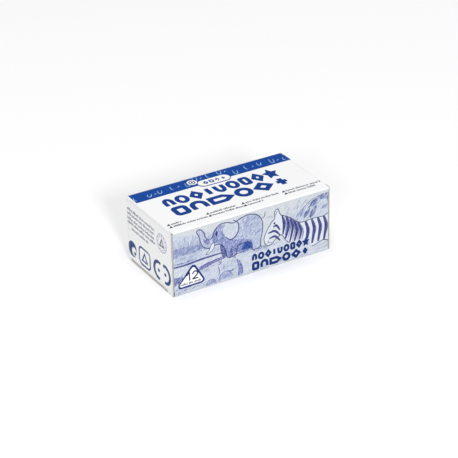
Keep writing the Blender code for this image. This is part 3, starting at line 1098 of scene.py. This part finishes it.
def make_dust_flap(side, wall, sign):
    """A mitred flap behind the closure, and the crease that joins it to its wall."""
    body = f"dust_flap_{side}_{wall}"
    low, high = node_box(f"dust_flap_left_{wall}")
    foot, head = low.z, high.z
    length = high.y - low.y
    reach = LAYER
    mitre = math.tan(math.radians(DUST_MITRE))
    taper = math.tan(math.radians(DUST_TAPER))

    def flap_place(distance, z, depth):
        return Vector((low.x + depth, sign * (HALF_DEPTH - distance), z))

    corners = [(reach, foot), (length, foot + length * taper), (length, head - length * mitre), (reach, head)]
    outline = [corners[0]] + rounded(corners, DUST_CORNER)[6:18] + [corners[3]]
    piece = add_board(f"{body}_panel", outline, turned(flap_place, side), grid=2.5,
                      wear=lambda d, z: near(d, (length,), 0.6))
    stand_in(piece, body, "printed_board", body)

    radius = CREASE_RADIUS
    flat = reach - radius
    corner = Section((0.0, reach), -90.0, [("line", flat), ("arc", radius, 90.0), ("line", flat)])

    def fold_plane(z, point):
        return Vector((low.x + point.x, sign * (HALF_DEPTH - point.y), z))

    # The wall's picture runs over the fold.
    art = Print()
    wall_end = LAYER + reach
    low_side = (side == "left") == (wall == "front")
    picture_low, picture_high = wall_end - 0.8 * corner.length, wall_end
    if not low_side:
        picture_low, picture_high = LENGTH - picture_high, LENGTH - picture_low

    def move(u, v):
        along = u if low_side else LENGTH - u
        return (v if side == "left" else HEIGHT - v, corner.length - wall_end + along)

    art.lay(clipped(picture_print(), 0.0, HEIGHT, picture_low, picture_high), move)
    make_crease(f"{body}_fold", corner, foot, head, turned(fold_plane, side), body, "carton", art, -1)


# ---------------------------------------------------------------- crayons

CORE_SIDE = 4.4
WAX_RADIUS = 2.75
WRAP_RADIUS = 2.95
WRAP_PAPER = 0.1
WRAP_OVERLAP = 2.2
LAP_RAMP = 0.7
TIP_CORE_SIDE = 0.8
TIP_RADIUS = 1.3
TIP_TAPER = 11.0
TIP_EDGE = 0.6
SHOULDER_RADIUS = 0.5
PER_ROW = 4


def triangle_ring(core_side, radius, steps=10):
    """Points round a triangle with round corners, with one corner up."""
    ring = []
    for corner in range(3):
        facing = 90.0 + 120.0 * corner
        centre = direction(math.radians(facing)) * core_side / math.sqrt(3)
        ring += circle(centre.x, centre.y, radius, steps, facing - 60.0, 120.0)
        following = Vector(circle(0, 0, core_side / math.sqrt(3), 3, facing, 360)[1])
        start, end = Vector(ring[-1]), following + direction(math.radians(facing + 60.0)) * radius
        ring += [tuple(start.lerp(end, i / 4)) for i in range(1, 4)]
    return ring


def wax_mesh():
    """A stick of wax with a soft-edged tapered tip and a moulded hollow in its blunt end."""
    low, high = node_box("crayon_01_wax")
    stations = []
    for step in range(5):
        angle = math.radians(90.0 * step / 4)
        shrink = TIP_EDGE * (1.0 - math.sin(angle))
        stations.append((low.x + TIP_EDGE * (1.0 - math.cos(angle)), TIP_CORE_SIDE, TIP_RADIUS - shrink))
    for step in range(1, 9):
        t = step / 8
        ease = t + 0.06 * math.sin(math.pi * t)
        stations.append((
            low.x + TIP_EDGE + (TIP_TAPER - TIP_EDGE) * t,
            TIP_CORE_SIDE + (CORE_SIDE - TIP_CORE_SIDE) * ease,
            TIP_RADIUS + (WAX_RADIUS - TIP_RADIUS) * ease,
        ))
    steps = 24
    straight = high.x - SHOULDER_RADIUS - low.x - TIP_TAPER
    for i in range(1, steps + 1):
        stations.append((low.x + TIP_TAPER + straight * i / steps, CORE_SIDE, WAX_RADIUS))
    for step in range(1, 5):
        angle = math.radians(90.0 * step / 4)
        stations.append((
            high.x - SHOULDER_RADIUS * (1.0 - math.sin(angle)),
            CORE_SIDE,
            WAX_RADIUS - SHOULDER_RADIUS * (1.0 - math.cos(angle)),
        ))
    stations += [(high.x, CORE_SIDE, WAX_RADIUS - 1.1), (high.x - 0.35, CORE_SIDE, WAX_RADIUS - 1.5)]
    shape = bmesh.new()
    rings = [
        [shape.verts.new(Vector((x, p[0], p[1])) * MM) for p in triangle_ring(side, radius)]
        for x, side, radius in stations
    ]
    for first, second in zip(rings, rings[1:]):
        for index in range(len(first)):
            following = (index + 1) % len(first)
            shape.faces.new((first[index], first[following], second[following], second[index]))
    shape.faces.new(rings[0][::-1])
    shape.faces.new(rings[-1])
    bmesh.ops.recalc_face_normals(shape, faces=shape.faces[:])
    mesh = mesh_from(shape, "crayon_wax", wax_material)
    mesh.shade_smooth()
    mesh.set_sharp_from_angle(angle=math.radians(40.0))
    return mesh


def wrapper_mesh():
    """A printed paper sleeve wound once round the stick, with its glued end lapped over its start."""
    low, high = node_box("crayon_01_wrapper")
    corner = ("arc", WRAP_RADIUS, -120.0)
    half = CORE_SIDE / 2
    section = Section((0.0, -half / math.sqrt(3) - WRAP_RADIUS), 180.0, [
        ("line", half), corner, ("line", CORE_SIDE), corner, ("line", CORE_SIDE), corner,
        ("line", half + WRAP_OVERLAP),
    ])
    lap = section.length - WRAP_OVERLAP
    step_up = WRAP_PAPER + 0.02

    def place(x, s, depth):
        point, side = section.point(s)
        t = min(max((s - lap + LAP_RAMP) / LAP_RAMP, 0.0), 1.0)
        point = point + side * (step_up * t * t * (3 - 2 * t) - depth)
        return Vector((x, point.x, point.y))

    art = Print()
    art.fill("wrap", box_points(low.x - 1, -1, high.x + 1, section.length + 1))
    bands = ((1.3, 1.5, "wrap_dark"), (4.0, 0.7, "wrap_dark"), (5.4, 0.35, "wrap_pale"))
    for x, inward in ((low.x, 1), (high.x, -1)):
        for offset, width, ink in bands:
            waves = []
            for i in range(-1, 62):
                swing = 0.45 * math.sin(2 * math.pi * 3 * i / 60)
                waves.append((x + inward * (offset + swing), section.length * i / 60))
            art.line(ink, waves, width)
    for face in range(3):
        s = half + (face + 0.5) * (CORE_SIDE + WRAP_RADIUS * math.radians(120.0)) - 0.4
        art.fill("wrap_pale", rounded(box_points(-9.0, s - 2.0, 9.0, s + 2.0), 1.9))
        sign_row(art, "wrap_dark", FIRST_ROW[:5], -7.4, 7.4, s - 1.1, 2.2, 0.6, 0.5)
    outline = [(low.x, 0.0), (high.x, 0.0), (high.x, section.length), (low.x, section.length)]
    rows = fold_lines(section, 9) + [lap - LAP_RAMP * i / 4 for i in range(5)]
    return sheet_mesh("crayon_wrapper", outline, place, wrapper_material, art, rows, wall=WRAP_PAPER)


def make_crayons():
    """Twelve sticks and their sleeves, in the places of the CAD ones, point up and point down by turns."""
    wax, sleeve = wax_mesh(), wrapper_mesh()
    centre_to_face = CORE_SIDE / (2 * math.sqrt(3)) + WAX_RADIUS
    names = sorted(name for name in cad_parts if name.endswith("_wax"))
    for index, wax_node in enumerate(names):
        body = wax_node.removesuffix("_wax")
        low, high = node_box(wax_node)
        point_up = sum(divmod(index, PER_ROW)) % 2 == 0
        z = low.z + centre_to_face if point_up else high.z - centre_to_face
        place = Matrix.Translation(Vector((0.0, (low.y + high.y) / 2, z)) * MM)
        turn = Matrix.Rotation(0.0 if point_up else math.pi, 4, "X")
        for kind, mesh in (("wax", wax), ("wrapper", sleeve)):
            piece = add_piece(f"{body}_{kind}_piece", mesh)
            piece.matrix_world = place @ turn
            stand_in(piece, body, "crayon_wax" if kind == "wax" else "wrapper_paper", f"{body}_{kind}")


# ---------------------------------------------------------------- materials

class Nodes:
    """Short calls that add shader nodes to a material and join them up."""

    def __init__(self, name):
        self.material = bpy.data.materials.new(name)
        self.material.use_nodes = True
        self.tree = self.material.node_tree
        self.shader = self.tree.nodes["Principled BSDF"]
        self.place = self.add("ShaderNodeTexCoord").outputs["Object"]

    def add(self, kind, **settings):
        node = self.tree.nodes.new(kind)
        for key, value in settings.items():
            setattr(node, key, value)
        return node

    def set(self, socket, value):
        if isinstance(value, bpy.types.NodeSocket):
            self.tree.links.new(value, socket)
        else:
            socket.default_value = value

    def attribute(self, name):
        return self.add("ShaderNodeAttribute", attribute_name=name)

    def noise(self, size, detail=2.0, stretch=(1, 1, 1), turn=(0, 0, 0), roughness=0.5):
        """Noise whose features are about size millimetres across."""
        mapping = self.add("ShaderNodeMapping", vector_type="TEXTURE")
        self.set(mapping.inputs["Vector"], self.place)
        mapping.inputs["Scale"].default_value = Vector(stretch) * size * MM
        mapping.inputs["Rotation"].default_value = [math.radians(a) for a in turn]
        noise = self.add("ShaderNodeTexNoise")
        self.set(noise.inputs["Vector"], mapping.outputs["Vector"])
        noise.inputs["Scale"].default_value = 1.0
        noise.inputs["Detail"].default_value = detail
        noise.inputs["Roughness"].default_value = roughness
        return noise.outputs["Fac"]

    def math(self, operation, *values):
        node = self.add("ShaderNodeMath", operation=operation)
        for socket, value in zip(node.inputs, values):
            self.set(socket, value)
        return node.outputs["Value"]

    def times(self, first, second):
        return self.math("MULTIPLY", first, second)

    def plus(self, first, second):
        return self.math("ADD", first, second)

    def remap(self, value, low, high, to_low=0.0, to_high=1.0):
        node = self.add("ShaderNodeMapRange", clamp=True)
        for socket, entry in zip(node.inputs, (value, low, high, to_low, to_high)):
            self.set(socket, entry)
        return node.outputs["Result"]

    def mix(self, factor, first, second):
        node = self.add("ShaderNodeMix", data_type="RGBA")
        self.set(node.inputs[0], factor)
        self.set(node.inputs[6], first)
        self.set(node.inputs[7], second)
        return node.outputs[2]

    def bump(self, *layers):
        """Bumps on top of each other. A layer is (height, distance in millimetres)."""
        normal = None
        for height, distance in layers:
            node = self.add("ShaderNodeBump")
            node.inputs["Strength"].default_value = 1.0
            node.inputs["Distance"].default_value = distance * MM
            self.set(node.inputs["Height"], height)
            if normal:
                self.set(node.inputs["Normal"], normal)
            normal = node.outputs["Normal"]
        self.set(self.shader.inputs["Normal"], normal)


def make_board_material():
    """Coated white board: smooth where it is printed, with the tooth of crayon in the soft inks, rubbed
    edges, and a grey, fibrous back."""
    nodes = Nodes("printed_board")
    ink = nodes.attribute("ink")
    wear = nodes.attribute("wear").outputs["Fac"]
    bare = nodes.attribute("bare").outputs["Fac"]
    paper = (*linear(*PAPER), 1.0)

    strokes = nodes.noise(0.42, 2.0, (1.0, 1.0, 3.6), (0, 38, 0))
    tooth = nodes.noise(0.16, 1.0)
    grain = nodes.plus(nodes.times(strokes, 0.65), nodes.times(tooth, 0.35))
    gaps = nodes.times(nodes.remap(grain, 0.46, 0.62), ink.outputs["Alpha"])
    patches = nodes.remap(nodes.noise(6.0, 3.0), 0.35, 0.7, 0.0, 0.10)
    faded = nodes.plus(nodes.times(gaps, 0.62), nodes.times(patches, ink.outputs["Alpha"]))
    printed = nodes.mix(faded, ink.outputs["Color"], paper)

    rub = nodes.times(wear, nodes.remap(nodes.noise(0.5, 3.0), 0.42, 0.7))
    rubbed = nodes.mix(nodes.times(rub, 0.55), printed, (0.50, 0.50, 0.51, 1.0))
    fibres = nodes.remap(nodes.noise(0.28, 3.0, (2.6, 2.6, 0.6)), 0.3, 0.75)
    back = nodes.mix(fibres, (0.60, 0.57, 0.53, 1.0), (0.74, 0.72, 0.68, 1.0))
    nodes.set(nodes.shader.inputs["Base Color"], nodes.mix(bare, rubbed, back))

    gloss = nodes.remap(nodes.noise(2.4, 3.0), 0.3, 0.7, 0.40, 0.50)
    matt = nodes.plus(gloss, nodes.times(rub, 0.25))
    rough = nodes.plus(matt, nodes.times(bare, 0.42))
    nodes.set(nodes.shader.inputs["Roughness"], rough)
    nodes.bump(
        (nodes.noise(9.0, 1.0), 0.05),
        (nodes.noise(0.35, 3.0), 0.004),
        (nodes.times(fibres, bare), 0.02),
    )
    nodes.shader.inputs["Specular IOR Level"].default_value = 0.18
    return nodes.material


def make_wrapper_material():
    """Uncoated coloured paper with visible fibres."""
    nodes = Nodes("wrapper_paper")
    ink = nodes.attribute("ink").outputs["Color"]
    fibres = nodes.remap(nodes.noise(0.25, 4.0, (3.0, 1.0, 1.0)), 0.3, 0.72)
    pale = nodes.mix(nodes.times(fibres, 0.16), ink, (0.72, 0.76, 0.84, 1.0))
    nodes.set(nodes.shader.inputs["Base Color"], pale)
    nodes.set(nodes.shader.inputs["Roughness"], nodes.remap(fibres, 0.0, 1.0, 0.66, 0.82))
    nodes.bump((nodes.noise(0.22, 3.0, (3.0, 1.0, 1.0)), 0.012))
    return nodes.material


def make_wax_material():
    """Deep blue wax: mottled, with a dull bloom and fine marks along the stick."""
    nodes = Nodes("crayon_wax")
    mottle = nodes.remap(nodes.noise(3.2, 4.0), 0.3, 0.72)
    body = nodes.mix(mottle, (*linear(8, 52, 150), 1.0), (*linear(16, 74, 178), 1.0))
    bloom = nodes.remap(nodes.noise(1.2, 5.0, roughness=0.65), 0.55, 0.78, 0.0, 0.22)
    nodes.set(nodes.shader.inputs["Base Color"], nodes.mix(bloom, body, (*linear(122, 150, 205), 1.0)))
    marks = nodes.noise(0.2, 2.0, (14.0, 1.0, 1.0))
    nodes.set(nodes.shader.inputs["Roughness"], nodes.remap(nodes.noise(0.9, 3.0), 0.3, 0.7, 0.32, 0.5))
    nodes.bump((marks, 0.02), (nodes.noise(0.8, 3.0), 0.03))
    nodes.shader.inputs["IOR"].default_value = 1.43
    return nodes.material


# ---------------------------------------------------------------- studio

def make_floor():
    """A wide white sweep under the carton."""
    shape = bmesh.new()
    bmesh.ops.create_grid(shape, x_segments=1, y_segments=1, size=3.0)
    nodes = Nodes("white_sweep")
    nodes.shader.inputs["Base Color"].default_value = (0.97, 0.97, 0.97, 1.0)
    nodes.shader.inputs["Roughness"].default_value = 0.9
    nodes.shader.inputs["Specular IOR Level"].default_value = 0.1
    floor = add_piece("floor", mesh_from(shape, "floor", nodes.material))
    floor.location.z = -0.00003


def make_light(name, azimuth, elevation, distance, size, power):
    """A square softbox that faces the carton, placed by its direction from the carton's middle."""
    data = bpy.data.lights.new(name, "AREA")
    data.size = size
    data.energy = power
    light = bpy.data.objects.new(name, data)
    way = way_out(math.radians(azimuth), math.radians(elevation))
    light.location = way * distance
    light.rotation_euler = way.to_track_quat("Z", "Y").to_euler()
    bpy.context.scene.collection.objects.link(light)


def make_studio():
    """Even white light from all round, a large softbox overhead, and two low keys, whose shadows show as a
    soft rim behind the carton."""
    make_floor()
    make_light("overhead", 0.0, 90.0, 3.0, 2.6, 58.0)
    make_light("front_key", -15.0, 26.0, 2.6, 0.36, 29.0)
    make_light("side_key", -42.0, 26.0, 2.6, 0.36, 11.5)
    world = bpy.data.worlds.new("studio")
    world.use_nodes = True
    background = world.node_tree.nodes["Background"]
    background.inputs["Color"].default_value = (1.0, 1.0, 1.0, 1.0)
    background.inputs["Strength"].default_value = 0.28
    bpy.context.scene.world = world
    bpy.context.scene.view_settings.view_transform = "Standard"


# ---------------------------------------------------------------- make it all

make_camera()
board_material = make_board_material()
wrapper_material = make_wrapper_material()
wax_material = make_wax_material()
make_sleeve()
for side_name in ("left", "right"):
    make_end(side_name)
make_crayons()
make_studio()
